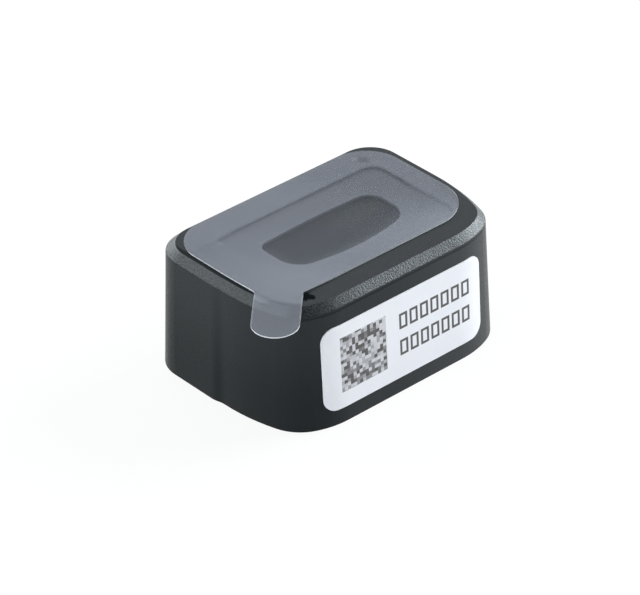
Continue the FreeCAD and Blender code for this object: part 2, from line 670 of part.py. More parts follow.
def connector_contact(x):
    """Bent strip: a tail soldered behind the moulding, and a blade along the slot's floor."""
    left = x - CONTACT_WIDTH / 2
    right = x + CONTACT_WIDTH / 2
    front_y = SOCKET_BACK_Y - BITE
    tail = block(left, right, SOCKET_BACK_Y - CONTACT_TAIL, front_y,
                 BOARD_REAR_Z - CONTACT_THICKNESS, BOARD_REAR_Z)
    riser = block(left, right, front_y - CONTACT_THICKNESS, front_y, SOCKET_FLOOR_Z, BOARD_REAR_Z)
    blade = block(left, right, front_y - CONTACT_THICKNESS, SOCKET_MOUTH_Y - SOCKET_HEIGHT / 2 - BITE,
                  SOCKET_FLOOR_Z, SOCKET_FLOOR_Z + CONTACT_THICKNESS)
    return tail.fuse(riser).fuse(blade).removeSplitter()


def connector_contacts():
    return Part.makeCompound([connector_contact(x) for x in contact_places()])


def connector_anchors():
    """Bent solder tabs at the socket's two ends."""
    y0, y1 = ANCHOR_Y
    tabs = []
    for side in (-1, 1):
        root_x = side * SOCKET_LENGTH / 2
        foot = block(root_x, root_x + side * ANCHOR_REACH, y0, y1,
                     BOARD_REAR_Z - ANCHOR_THICKNESS, BOARD_REAR_Z)
        ear = block(root_x, root_x + side * ANCHOR_THICKNESS, y0, y1,
                    BOARD_REAR_Z - ANCHOR_HEIGHT, BOARD_REAR_Z)
        tabs.append(foot.fuse(ear).removeSplitter())
    return Part.makeCompound(tabs)


def connector_latch():
    """Flip lever: a plate with a finger lip, on a round shaft whose ends turn in the cheeks."""
    half = LATCH_LENGTH / 2
    lip_y = SOCKET_BACK_Y + BITE
    plate = block(-half, half, lip_y, LATCH_PIVOT_Y, SOCKET_OUTER_Z, LATCH_PIVOT_Z + BITE)
    lip = [e for e in plate.Edges if e.BoundBox.YMax < lip_y + SAME and e.BoundBox.XLength > half]
    plate = plate.makeFillet(LATCH_LIP_RADIUS, lip)
    barrel = shaft(LATCH_BARREL_RADIUS, LATCH_LENGTH, LATCH_PIVOT_Y, LATCH_PIVOT_Z)
    cheek = (SOCKET_LENGTH - LATCH_LENGTH) / 2 - LATCH_SIDE_GAP
    pin = shaft(LATCH_SHAFT_RADIUS, SOCKET_LENGTH - cheek - LATCH_SIDE_GAP, LATCH_PIVOT_Y, LATCH_PIVOT_Z)
    return plate.fuse(barrel).fuse(pin).removeSplitter()


def side_label():
    """Sticker that follows the front wall and the start of its corners."""
    skin = casing_outside(LABEL_THICKNESS).cut(casing_outside())
    patch = rounded_block(LABEL_LEFT_X, LABEL_RIGHT_X, LABEL_LOW_Z, LABEL_HIGH_Z,
                          0, WIDTH, LABEL_RADIUS)
    patch.rotate(ORIGIN, ALONG, 90)
    return skin.common(patch).Solids[0]


def protective_film():
    """Peel-off sheet with a pull tab that leaves one corner on the diagonal and stands clear."""
    top_z = HEIGHT + FILM_THICKNESS
    sheet = block(FILM_LEFT_X, FILM_RIGHT_X, FILM_FRONT_Y, FILM_BACK_Y, HEIGHT, top_z)
    back = [e for e in upright_edges(sheet) if e.BoundBox.YMin > 0]
    sheet = sheet.makeFillet(FILM_BACK_CORNER, back)
    front_right = [e for e in upright_edges(sheet) if e.BoundBox.YMin < 0 and e.BoundBox.XMin > 0]
    sheet = sheet.makeFillet(FILM_FRONT_CORNER, front_right)
    half = TAB_WIDTH / 2
    straight = TAB_REACH - half
    tab = block(0, straight, -half, half, HEIGHT, top_z).fuse(rod(half, straight, 0, HEIGHT, top_z))
    corner_cut = block(0, WIDTH, -WIDTH, WIDTH, HEIGHT - CLEAR, top_z + CLEAR)
    for form in (tab, corner_cut):
        form.rotate(ORIGIN, UP, TAB_HEADING)
        form.translate(Vector(TAB_ROOT_X, TAB_ROOT_Y, 0))
    return sheet.cut(corner_cut).fuse(tab).removeSplitter()


PIECES = [
    top_housing, rear_cover, case_screws,
    ir_window, window_tape, light_seal,
    optics_holder, transmit_lens, receive_lens, receive_filter,
    main_board, laser_emitter, receiver_chip, controller_chip, laser_driver,
    voltage_regulator, power_inductor, clock_crystal,
    front_capacitors, front_resistors, rear_capacitors,
    connector_body, connector_contacts, connector_anchors, connector_latch,
    side_label, protective_film,
]

os.makedirs("parts", exist_ok=True)
for make in PIECES:
    shape = make()
    name = make.__name__
    if not shape.isValid():
        raise ValueError(name + " is not a valid shape")
    shape.exportStep("parts/" + name + ".step")
    box = shape.optimalBoundingBox()
    print("%-20s solids %2d  volume %8.3f  size %.2f x %.2f x %.2f" % (
        name, len(shape.Solids), shape.Volume, box.XLength, box.YLength, box.ZLength))
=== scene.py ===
import math
import bmesh
import bpy
from mathutils import Matrix, Vector


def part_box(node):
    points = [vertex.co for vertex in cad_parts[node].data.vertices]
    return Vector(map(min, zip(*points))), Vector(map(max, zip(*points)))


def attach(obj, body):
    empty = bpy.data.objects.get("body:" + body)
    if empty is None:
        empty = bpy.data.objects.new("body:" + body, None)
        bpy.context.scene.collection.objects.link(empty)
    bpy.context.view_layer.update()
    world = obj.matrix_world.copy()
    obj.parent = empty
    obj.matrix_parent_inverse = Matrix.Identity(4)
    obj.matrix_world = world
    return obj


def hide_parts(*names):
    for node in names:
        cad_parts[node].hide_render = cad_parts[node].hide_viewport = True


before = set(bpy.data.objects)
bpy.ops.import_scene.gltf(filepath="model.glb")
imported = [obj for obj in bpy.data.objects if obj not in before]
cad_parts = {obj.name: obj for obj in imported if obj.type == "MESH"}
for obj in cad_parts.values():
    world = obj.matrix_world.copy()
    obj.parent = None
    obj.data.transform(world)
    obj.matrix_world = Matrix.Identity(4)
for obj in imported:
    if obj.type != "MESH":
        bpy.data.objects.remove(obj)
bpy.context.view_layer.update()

# Main board: 0.8 mm glass-fibre laminate under green solder mask, routed to the casing's outline.
# The cover's ribs clamp it on the cup's ledge. Copper runs show as paler lines through the mask,
# and the routed rim shows the bare tan laminate.
MM = 0.001
MASK_GREEN = (0.012, 0.085, 0.04)
TRACE_GREEN = (0.03, 0.17, 0.085)
LAMINATE_TAN = (0.36, 0.29, 0.14)
TRACE_SCALE = 0.9
TRACE_WANDER = 1.6
TRACE_WANDER_SCALE = 0.35
GRAIN_SPAN = (0.3, 0.7)          # nearly all of a grain pattern's values lie between these


def new_material(name, colour, roughness, metallic=0.0):
    """A material with one shader, ready for its textures."""
    material = bpy.data.materials.new(name)
    material.use_nodes = True
    shader = shader_of(material)
    shader.inputs["Base Color"].default_value = (*colour, 1.0)
    shader.inputs["Roughness"].default_value = roughness
    shader.inputs["Metallic"].default_value = metallic
    return material


def shader_of(material):
    return material.node_tree.nodes["Principled BSDF"]


def add_node(material, kind, **settings):
    node = material.node_tree.nodes.new("ShaderNode" + kind)
    for key, value in settings.items():
        setattr(node, key, value)
    return node


def plug(material, source, socket):
    """Feed a socket from another node's output, a number or a colour."""
    if isinstance(source, bpy.types.NodeSocket):
        material.node_tree.links.new(source, socket)
    elif isinstance(source, tuple):
        socket.default_value = (*source, 1.0)
    else:
        socket.default_value = source


def calc(material, operation, *values):
    node = add_node(material, "Math", operation=operation)
    for socket, value in zip(node.inputs, values):
        plug(material, value, socket)
    return node.outputs[0]


def product(material, *values):
    """All the values multiplied together, from the first on."""
    result = values[0]
    for value in values[1:]:
        result = calc(material, "MULTIPLY", result, value)
    return result


def fade(material, value, start, end, low=0.0, high=1.0):
    """Smooth step from low to high as value goes from start to end."""
    node = add_node(material, "MapRange", interpolation_type="SMOOTHSTEP")
    for socket, item in zip(node.inputs, (value, start, end, low, high)):
        plug(material, item, socket)
    return node.outputs[0]


def mix_colours(material, share, first, second):
    node = add_node(material, "Mix", data_type="RGBA")
    plug(material, share, node.inputs[0])
    plug(material, first, node.inputs[6])
    plug(material, second, node.inputs[7])
    return node.outputs[2]


def place_in_mm(material):
    """Where a point lies on the object, in millimetres."""
    coordinates = add_node(material, "TexCoord")
    scaled = add_node(material, "VectorMath", operation="SCALE")
    plug(material, coordinates.outputs["Object"], scaled.inputs[0])
    scaled.inputs["Scale"].default_value = 1 / MM
    return scaled.outputs[0]


def axes_of(material, vector):
    node = add_node(material, "SeparateXYZ")
    plug(material, vector, node.inputs[0])
    return node.outputs[0], node.outputs[1], node.outputs[2]


def facing(material):
    """The direction that the surface faces, on the object's own axes."""
    return axes_of(material, add_node(material, "TexCoord").outputs["Normal"])


def grain(material, place, per_mm, detail=2.0):
    """Cloudy pattern with that many grains in a millimetre."""
    node = add_node(material, "TexNoise")
    plug(material, place, node.inputs["Vector"])
    node.inputs["Scale"].default_value = per_mm
    node.inputs["Detail"].default_value = detail
    return node.outputs[0]


def uneven(material, pattern, low, high):
    """Let a grain pattern vary a value from low to high."""
    return fade(material, pattern, *GRAIN_SPAN, low, high)


def relief(material, height, depth_mm):
    """Let height, from 0 to 1, raise the surface by up to depth_mm."""
    node = add_node(material, "Bump")
    plug(material, height, node.inputs["Height"])
    node.inputs["Distance"].default_value = depth_mm * MM
    plug(material, node.outputs[0], shader_of(material).inputs["Normal"])


def colour_with(material, colour):
    plug(material, colour, shader_of(material).inputs["Base Color"])


def roughen_with(material, roughness):
    plug(material, roughness, shader_of(material).inputs["Roughness"])


def dress(material, *names):
    """Give CAD nodes their material."""
    for name in names:
        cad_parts[name].material_slots[0].material = material


board_finish = new_material("solder_mask_green", MASK_GREEN, roughness=0.32)
board_place = place_in_mm(board_finish)
runs = add_node(board_finish, "TexWave", bands_direction="X")
plug(board_finish, board_place, runs.inputs["Vector"])
runs.inputs["Scale"].default_value = TRACE_SCALE
runs.inputs["Distortion"].default_value = TRACE_WANDER
runs.inputs["Detail Scale"].default_value = TRACE_WANDER_SCALE
patches = fade(board_finish, grain(board_finish, board_place, per_mm=0.35), 0.44, 0.5)
copper = product(board_finish, fade(board_finish, runs.outputs[1], 0.55, 0.62), patches)
rim = fade(board_finish, calc(board_finish, "ABSOLUTE", facing(board_finish)[2]), 0.7, 0.4)
colour_with(board_finish, mix_colours(
    board_finish, rim, mix_colours(board_finish, copper, MASK_GREEN, TRACE_GREEN), LAMINATE_TAN))
roughen_with(board_finish, fade(board_finish, rim, 0.0, 1.0, 0.3, 0.75))
weave = grain(board_finish, board_place, per_mm=9.0)
relief(board_finish, calc(board_finish, "ADD", copper, weave), depth_mm=0.02)
dress(board_finish, "main_board")

# Parts soldered to the board: black epoxy packages with a dull, sparkled moulding skin, tan
# ceramic capacitors and trays, a plated clock can. Each sits on its pads on the board's face.
EPOXY_BLACK = (0.018, 0.018, 0.019)
CERAMIC_TAN = (0.42, 0.3, 0.19)
SOLDER_GREY = (0.62, 0.62, 0.6)
EPOXY_PALE = (0.045, 0.045, 0.047)
CERAMIC_PALE = (0.5, 0.39, 0.27)
CAN_SILVER = (0.62, 0.61, 0.58)
TINNED_EDGE = (0.23, 0.27)       # from the middle of a part, where its tinned end begins
LEADLESS_ROWS = (                # piece, material, colour, first part's X and pitch in mm
    ("front_capacitors", "ceramic_front", CERAMIC_TAN, -6.0, 1.8),
    ("rear_capacitors", "ceramic_rear", CERAMIC_TAN, -5.6, 11.2),
    ("front_resistors", "resistor_black", EPOXY_BLACK, -5.0, 1.6))

chip_finish = new_material("epoxy_package", EPOXY_BLACK, roughness=0.55)
chip_place = place_in_mm(chip_finish)
chip_grain = grain(chip_finish, chip_place, per_mm=22.0, detail=3.0)
colour_with(chip_finish, mix_colours(chip_finish, chip_grain, EPOXY_BLACK, EPOXY_PALE))
roughen_with(chip_finish, uneven(chip_finish, chip_grain, 0.45, 0.68))
relief(chip_finish, chip_grain, depth_mm=0.012)
dress(chip_finish, "receiver_chip", "controller_chip", "laser_driver", "voltage_regulator",
      "power_inductor")


def leadless_finish(name, body_colour, first_x, pitch):
    """Ceramic with tinned ends, on a row of 1 mm long parts that stand pitch apart along X."""
    material = new_material(name, body_colour, roughness=0.5)
    place = place_in_mm(material)
    x = axes_of(material, place)[0]
    along = calc(material, "WRAP", calc(material, "SUBTRACT", x, first_x), pitch / 2, -pitch / 2)
    tinned = fade(material, calc(material, "ABSOLUTE", along), *TINNED_EDGE)
    mottle = grain(material, place, per_mm=14.0, detail=3.0)
    fired = mix_colours(material, mottle, body_colour, tuple(0.7 * part for part in body_colour))
    colour_with(material, mix_colours(material, tinned, fired, SOLDER_GREY))
    plug(material, tinned, shader_of(material).inputs["Metallic"])
    roughen_with(material, uneven(material, mottle, 0.35, 0.5))
    relief(material, mottle, depth_mm=0.008)
    return material


for piece, name, colour, first_x, pitch in LEADLESS_ROWS:
    dress(leadless_finish(name, colour, first_x, pitch), piece)

tray_finish = new_material("fired_ceramic", CERAMIC_TAN, roughness=0.6)
tray_grain = grain(tray_finish, place_in_mm(tray_finish), per_mm=16.0, detail=3.0)
colour_with(tray_finish, mix_colours(tray_finish, tray_grain, CERAMIC_TAN, CERAMIC_PALE))
relief(tray_finish, tray_grain, depth_mm=0.01)
dress(tray_finish, "laser_emitter")

can_finish = new_material("plated_can", CAN_SILVER, roughness=0.3, metallic=1.0)
can_grain = grain(can_finish, place_in_mm(can_finish), per_mm=11.0, detail=4.0)
roughen_with(can_finish, uneven(can_finish, can_grain, 0.22, 0.42))
relief(can_finish, can_grain, depth_mm=0.004)
dress(can_finish, "clock_crystal")

# Flat-cable socket on the board's rear: ivory heat-resistant nylon, gold-plated contacts, tinned
# anchor tabs, and a dark flip lever that turns on its own shaft and locks the cable.
NYLON_IVORY = (0.6, 0.54, 0.42)
NYLON_PALE = (0.66, 0.6, 0.49)
LEVER_BROWN = (0.022, 0.018, 0.015)
LEVER_PALE = (0.035, 0.03, 0.026)
CONTACT_GOLD = (0.83, 0.62, 0.26)
DRAWN_LINES = (30.0, 3.0, 30.0)  # lines to the mm on each axis, stretched along the strip


def moulded_nylon(name, colour, second):
    """Glass-filled nylon: slightly streaked colour and a dull, faintly pitted skin."""
    material = new_material(name, colour, roughness=0.5)
    place = place_in_mm(material)
    streaks = grain(material, place, per_mm=3.5, detail=4.0)
    pits = grain(material, place, per_mm=26.0, detail=2.0)
    colour_with(material, mix_colours(material, streaks, colour, second))
    roughen_with(material, uneven(material, streaks, 0.4, 0.6))
    relief(material, pits, depth_mm=0.008)
    return material


def drawn_metal(name, colour, roughness):
    """Stamped strip: fine lines along its length and slightly uneven plating."""
    material = new_material(name, colour, roughness, metallic=1.0)
    place = place_in_mm(material)
    stretched = add_node(material, "VectorMath", operation="MULTIPLY")
    plug(material, place, stretched.inputs[0])
    stretched.inputs[1].default_value = DRAWN_LINES
    lines = grain(material, stretched.outputs[0], per_mm=1.0)
    colour_with(material, mix_colours(material, grain(material, place, per_mm=5.0), colour,
                                      tuple(0.85 * part for part in colour)))
    roughen_with(material, uneven(material, lines, roughness - 0.08, roughness + 0.1))
    relief(material, lines, depth_mm=0.002)
    return material


dress(moulded_nylon("nylon_ivory", NYLON_IVORY, NYLON_PALE), "connector_body")
dress(moulded_nylon("nylon_dark", LEVER_BROWN, LEVER_PALE), "connector_latch")
dress(drawn_metal("gold_plating", CONTACT_GOLD, 0.24), "connector_contacts")
dress(drawn_metal("tin_plating", SOLDER_GREY, 0.34), "connector_anchors")

# Optics: a dull black holder with two barrels drops its pegs in the board and carries the two
# moulded lenses, the coated band-pass glass lies under the larger one, and a foam pad on top
# keeps stray light from crossing over behind the window.
HOLDER_BLACK = (0.012, 0.012, 0.012)
HOLDER_TONES = ((0.01, 0.01, 0.01), (0.024, 0.024, 0.025))
FOAM_BLACK = (0.02, 0.02, 0.022)
FOAM_TONES = ((0.01, 0.01, 0.011), (0.04, 0.04, 0.043))
FOAM_CELLS_PER_MM = 8.0
LENS_CLEAR = (0.86, 0.9, 0.92)
FILTER_VIOLET = (0.32, 0.1, 0.17)
LENS_IOR = 1.53
LENS_CLARITY = 0.9

holder_finish = new_material("barrel_black", HOLDER_BLACK, roughness=0.7)
holder_grain = grain(holder_finish, place_in_mm(holder_finish), per_mm=12.0, detail=4.0)
colour_with(holder_finish, mix_colours(holder_finish, holder_grain, *HOLDER_TONES))
relief(holder_finish, holder_grain, depth_mm=0.02)
dress(holder_finish, "optics_holder")

foam_finish = new_material("cell_foam", FOAM_BLACK, roughness=0.95)
foam_cells = add_node(foam_finish, "TexVoronoi")
plug(foam_finish, place_in_mm(foam_finish), foam_cells.inputs["Vector"])
foam_cells.inputs["Scale"].default_value = FOAM_CELLS_PER_MM
colour_with(foam_finish, mix_colours(foam_finish, foam_cells.outputs[0], *FOAM_TONES))
relief(foam_finish, foam_cells.outputs[0], depth_mm=0.06)
dress(foam_finish, "light_seal")


def optical_glass(name, colour, roughness):
    """Clear moulded optics with a faint tint; slight polish marks break up the gloss."""
    material = new_material(name, colour, roughness)
    shader_of(material).inputs["Transmission Weight"].default_value = LENS_CLARITY
    shader_of(material).inputs["IOR"].default_value = LENS_IOR
    marks = grain(material, place_in_mm(material), per_mm=2.0, detail=3.0)
    roughen_with(material, uneven(material, marks, roughness, roughness + 0.05))
    return material


dress(optical_glass("lens_clear", LENS_CLEAR, 0.02), "transmit_lens", "receive_lens")
dress(optical_glass("filter_violet", FILTER_VIOLET, 0.03), "receive_filter")

# Infrared window: a smooth barrel-shaped plug of dyed plastic that passes only infrared and looks
# black, with a painted sheen that makes it lighter and greener toward its far right. Its flange is
# held up behind the opening by a thin die-cut ring of black adhesive.
WINDOW_DYE = (0.0075, 0.009, 0.0125)
WINDOW_PAINTED_SHEEN = (0.0125, 0.0165, 0.0125)
WINDOW_GLOSS = 0.03
TAPE_BLACK = (0.025, 0.025, 0.026)

window_finish = new_material("dyed_window", WINDOW_DYE, roughness=0.2)
shader_of(window_finish).inputs["Specular IOR Level"].default_value = WINDOW_GLOSS
window_place = place_in_mm(window_finish)
window_x, window_y = axes_of(window_finish, window_place)[:2]
# Painted sheen: the window is painted lighter and greener toward its far right.
toward_painted_sheen = product(window_finish, fade(window_finish, window_x, -1.5, 3.0),
                      fade(window_finish, window_y, -1.2, 0.6))
colour_with(window_finish, mix_colours(window_finish, toward_painted_sheen, WINDOW_DYE, WINDOW_PAINTED_SHEEN))
window_sheen = grain(window_finish, window_place, per_mm=0.7, detail=2.0)
roughen_with(window_finish, uneven(window_finish, window_sheen, 0.3, 0.36))
dress(window_finish, "ir_window")

tape_finish = new_material("adhesive_ring", TAPE_BLACK, roughness=0.7)
tape_fibres = grain(tape_finish, place_in_mm(tape_finish), per_mm=10.0, detail=4.0)
roughen_with(tape_finish, uneven(tape_finish, tape_fibres, 0.55, 0.85))
relief(tape_finish, tape_fibres, depth_mm=0.01)
dress(tape_finish, "window_tape")

# Casing: a moulded cup of black glass-filled plastic, satin on the drafted walls, with a coarser
# spark-eroded grain on the chamfer round the optical face, which scatters light in specks.
# The flat rear cover closes it and has the same grain all over, but dull.
CASING_BLACK = (0.0045, 0.006, 0.0072)
CASING_SHEEN = (0.0065, 0.0085, 0.01)
CASING_TINT = (0.88, 0.965, 1.0)
SPARK_PALE = (0.028, 0.031, 0.033)
SPARK_DARK = (0.008, 0.0095, 0.0105)
OPENING_EDGE_PAINTED_LIGHT = (0.05, 0.054, 0.058)        # the window opening's cut, seen beside the window, painted paler as painted light over its shade
CASING_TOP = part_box("top_housing")[1].z / MM
CHAMFER_HEIGHT = 0.55
SHOULDER_Z = CASING_TOP - CHAMFER_HEIGHT
SHADOW_SPOT = (-6.95, -5.2, CASING_TOP)     # painted shadow beside the film's tab, under its lifted corner
SHADOW_SPOT_REACH = 0.5
FILM_EDGE_X = -9.2
WALL_GLOSS = 0.29
FACE_DULLER = 0.22
CHAMFER_GLOSS = (0.205, 0.33)              # extra gloss on the chamfer at its left and right, raised toward the right as a painted highlight
CASING_RELIEF = 0.0125


def inside(material, value, low, high, soft=0.02):
    """1 where value lies between low and high, with an edge that soft."""
    return product(material, fade(material, value, low - soft, low + soft),
                   fade(material, value, high + soft, high - soft))


casing_finish = new_material("moulded_black", CASING_BLACK, roughness=0.4)
casing_place = place_in_mm(casing_finish)
casing_x, casing_y, casing_height = axes_of(casing_finish, casing_place)
faces_x, faces_y, slope = facing(casing_finish)
skin = grain(casing_finish, casing_place, per_mm=7.0, detail=4.0)
flow = grain(casing_finish, casing_place, per_mm=0.22, detail=2.0)
sparks = fade(casing_finish, grain(casing_finish, casing_place, per_mm=8.0, detail=3.0), 0.34, 0.66)
on_chamfer = product(casing_finish, fade(casing_finish, slope, 0.3, 0.42),
                     fade(casing_finish, slope, 0.97, 0.86),
                     fade(casing_finish, casing_height, CASING_TOP - 0.75, CASING_TOP - 0.6))
on_face = fade(casing_finish, slope, 0.97, 0.99)
toward_front = fade(casing_finish, faces_y, -0.3, -0.55)
toward_left = fade(casing_finish, faces_x, -0.3, -0.55)
on_wall = product(casing_finish, fade(casing_finish, slope, 0.3, 0.2), toward_front)
in_opening = product(casing_finish,
                     fade(casing_finish, calc(casing_finish, "ABSOLUTE", casing_x), 5.6, 5.4),
                     fade(casing_finish, calc(casing_finish, "ABSOLUTE", casing_y), 3.4, 3.2),
                     fade(casing_finish, slope, 0.8, 0.6))
wall = mix_colours(casing_finish, flow, CASING_BLACK, CASING_SHEEN)
speckled = mix_colours(casing_finish, sparks, SPARK_DARK, SPARK_PALE)
moulded = mix_colours(casing_finish, on_chamfer, wall, speckled)
# Painted light: the opening's cut is painted far paler than the casing, lifting the shade beside the
# window.
colour_with(casing_finish, mix_colours(casing_finish, in_opening, moulded, OPENING_EDGE_PAINTED_LIGHT))
roughen_with(casing_finish, calc(casing_finish, "SUBTRACT", uneven(casing_finish, skin, 0.36, 0.5),
                                 product(casing_finish, on_chamfer, 0.02)))

# Painted shadow: the face loses its gloss in a ragged spot beside the film's tab, where the lifted
# film shades it.
from_shadow_spot = add_node(casing_finish, "VectorMath", operation="DISTANCE")
plug(casing_finish, casing_place, from_shadow_spot.inputs[0])
from_shadow_spot.inputs[1].default_value = SHADOW_SPOT
ragged = calc(casing_finish, "MULTIPLY_ADD", grain(casing_finish, casing_place, per_mm=3.2), 0.9,
              from_shadow_spot.outputs["Value"])
painted_shadow_spot = fade(casing_finish, ragged, SHADOW_SPOT_REACH + 0.5, SHADOW_SPOT_REACH + 0.42)
# Painted shadow beside the film's left edge and painted shade just under the front chamfer: less gloss
# there.
beside_film = product(casing_finish, fade(casing_finish, slope, 0.9, 0.97),
                      fade(casing_finish, casing_x, FILM_EDGE_X + 0.05, FILM_EDGE_X - 0.05))
below_shoulder = inside(casing_finish, casing_height, SHOULDER_Z - 0.26, SHOULDER_Z - 0.1, 0.06)
under_shoulder = product(casing_finish, fade(casing_finish, faces_y, -0.5, -0.8), below_shoulder)
# Painted shade: less gloss on the front chamfer toward its left end and on the left chamfer from its
# middle back.
painted_shade_front_chamfer = product(casing_finish, on_chamfer, toward_front,
               fade(casing_finish, casing_x, -2.8, -7.4, 0.1, 0.72))
painted_shade_left_chamfer = product(casing_finish, on_chamfer, toward_left,
                    fade(casing_finish, casing_y, -5.0, -1.0, 0.0, 0.22))
# All the painted shadow and shade above is gathered here and taken off the gloss.
painted_shade = painted_shadow_spot
for share in (product(casing_finish, beside_film, 0.75),
              product(casing_finish, under_shoulder, 0.5), painted_shade_front_chamfer, painted_shade_left_chamfer):
    painted_shade = calc(casing_finish, "MAXIMUM", painted_shade, share)
# Painted light and shade: more gloss toward the right on the chamfer and front wall, less low on the
# left walls.
chamfer_gloss = fade(casing_finish, casing_x, 4.0, 8.0, *CHAMFER_GLOSS)
plain_gloss = calc(casing_finish, "MULTIPLY_ADD", on_face, -FACE_DULLER, WALL_GLOSS)
wall_painted_light = calc(casing_finish, "ADD", fade(casing_finish, casing_x, -3.0, 9.0, 0.1, 1.2),
                 fade(casing_finish, casing_x, 8.0, 10.2, 0.0, 0.8))
low_left_painted_shade = product(casing_finish, fade(casing_finish, casing_height, 9.0, 1.5),
                   fade(casing_finish, casing_x, -3.0, -8.0, 0.0, 0.42),
                   fade(casing_finish, faces_y, 0.5, 0.2))
gloss = product(casing_finish,
                calc(casing_finish, "MULTIPLY_ADD", on_chamfer, chamfer_gloss, plain_gloss),
                calc(casing_finish, "MULTIPLY_ADD", on_wall, wall_painted_light, 1.0),
                calc(casing_finish, "SUBTRACT", 1.0, low_left_painted_shade),
                calc(casing_finish, "SUBTRACT", 1.0, painted_shade))
plug(casing_finish, gloss, shader_of(casing_finish).inputs["Specular IOR Level"])
plug(casing_finish, CASING_TINT, shader_of(casing_finish).inputs["Specular Tint"])
relief(casing_finish, calc(casing_finish, "MULTIPLY_ADD", skin, 0.22,
                           product(casing_finish, sparks, on_chamfer)), CASING_RELIEF)
dress(casing_finish, "top_housing")

COVER_TONES = ((0.012, 0.013, 0.0145), (0.02, 0.0215, 0.023))

cover_finish = new_material("grained_black", CASING_BLACK, roughness=0.55)
cover_place = place_in_mm(cover_finish)
cover_grain = grain(cover_finish, cover_place, per_mm=6.5, detail=4.0)
cover_flow = grain(cover_finish, cover_place, per_mm=0.3, detail=2.0)
colour_with(cover_finish, mix_colours(cover_finish, cover_flow, *COVER_TONES))
roughen_with(cover_finish, uneven(cover_finish, cover_grain, 0.48, 0.66))
relief(cover_finish, cover_grain, depth_mm=0.02)
dress(cover_finish, "rear_cover")

# Casing screws: two small self-tapping screws of blackened steel through cover and board, with
# an uneven oxide skin.
STEEL_BLACK = (0.05, 0.05, 0.053)
OXIDE_TONES = ((0.035, 0.035, 0.04), (0.1, 0.098, 0.095))

screw_finish = new_material("blackened_steel", STEEL_BLACK, roughness=0.38, metallic=0.85)
screw_place = place_in_mm(screw_finish)
oxide = grain(screw_finish, screw_place, per_mm=5.0, detail=4.0)
colour_with(screw_finish, mix_colours(screw_finish, oxide, *OXIDE_TONES))
roughen_with(screw_finish, uneven(screw_finish, oxide, 0.28, 0.5))
relief(screw_finish, oxide, depth_mm=0.006)
dress(screw_finish, "case_screws")

# Side label: white synthetic paper stuck on the long wall, round at its corners, with a plain
# field of grey cells and two rows of empty boxes printed on it.
PAPER_WHITE = (0.765, 0.765, 0.805)
PAPER_PALE = (0.81, 0.81, 0.85)
PRINT_GREY = (0.07, 0.066, 0.066)
CELL_FIELD = (-5.9, -1.85, 2.4, 6.6)       # left, right, low and high edge in mm
CELL_SIDE = 0.27
BOX_ROWS = (                               # the same four edges of each row
    (-0.65, 6.0, 4.95, 6.15), (-0.65, 6.0, 2.9, 4.1))
BOX_PITCH = 0.95
BOX_WIDTH = 0.74
BOX_LINE = 0.19

label_finish = new_material("label_paper_white", PAPER_WHITE, roughness=0.42)
label_place = place_in_mm(label_finish)
label_x, label_z = axes_of(label_finish, label_place)[::2]
cells = add_node(label_finish, "TexWhiteNoise", noise_dimensions="2D")
snapped = add_node(label_finish, "CombineXYZ")
for socket, value in zip(snapped.inputs, (label_x, label_z)):
    cell = calc(label_finish, "FLOOR", calc(label_finish, "DIVIDE", value, CELL_SIDE))
    plug(label_finish, cell, socket)
plug(label_finish, snapped.outputs[0], cells.inputs["Vector"])
left, right, low, high = CELL_FIELD
field = product(label_finish, inside(label_finish, label_x, left, right),
                inside(label_finish, label_z, low, high))
cell_ink = fade(label_finish, cells.outputs[0], 0.15, 0.85, 0.3, 1.0)
print_ink = product(label_finish, field, cell_ink)
for left, right, low, high in BOX_ROWS:
    along = calc(label_finish, "MODULO", calc(label_finish, "SUBTRACT", label_x, left), BOX_PITCH)
    row = inside(label_finish, label_x, left, right)
    outer = product(label_finish, inside(label_finish, along, 0.0, BOX_WIDTH),
                    inside(label_finish, label_z, low, high))
    inner = product(label_finish, inside(label_finish, along, BOX_LINE, BOX_WIDTH - BOX_LINE),
                    inside(label_finish, label_z, low + BOX_LINE, high - BOX_LINE))
    outlines = product(label_finish, row, calc(label_finish, "SUBTRACT", outer, inner))
    print_ink = calc(label_finish, "MAXIMUM", print_ink, outlines)
fibres = grain(label_finish, label_place, per_mm=5.0, detail=4.0)
paper = mix_colours(label_finish, fibres, PAPER_WHITE, PAPER_PALE)
colour_with(label_finish, mix_colours(label_finish, print_ink, paper, PRINT_GREY))
roughen_with(label_finish, uneven(label_finish, fibres, 0.36, 0.5))
relief(label_finish, fibres, depth_mm=0.003)
dress(label_finish, "side_label")

# Peel-off film: a 0.08 mm sheet of hazy plastic over the optical face, cut with round corners,
# whose pull tab leaves the near corner on the diagonal. It clings to the face and sags a little over
# the shallow recess and its window. The shade of a crease along the recess's rim and of a dent, and
# the highlights on a bubble, are painted into its haze, which is also painted lighter or darker from
# side to side.
FILM_THICKNESS = 0.08
FILM_LIFT = 0.01
FILM_LEFT_X = -9.22
FILM_FRONT_Y = -4.84
FILM_BACK_CORNER = 2.9
FILM_FRONT_CORNER = 3.5
CORNER_CUTS = 12
CUT_EXACTNESS = 0.0001
NEAR_CUT = 0.001
MERGE_REACH = 0.002
SMOOTH_ANGLE = 40
GRID_STEP = 0.13
TAB_WIDTH = 3.2
TAB_REACH = 5.0
TAB_ROOT = Vector((-8.2, -3.9, 0))
TAB_HEADING = 225.0
POCKET_HALF = 7.5
POCKET_BACK_Y = 4.08
POCKET_FRONT_Y = -4.57
POCKET_MIDDLE_Y = (POCKET_BACK_Y + POCKET_FRONT_Y) / 2
POCKET_CORNER = 1.3
FILM_SAG = 0.06
SAG_RAMP = 0.3                   # the slope into the sag is that wide at the back,
FRONT_RAMP = 2.4                 # wider by this at the front
LEFT_RAMP = 0.8                  # and by this at the left
TAB_RISE = 0.14
TAB_RISE_REACH = 4.5
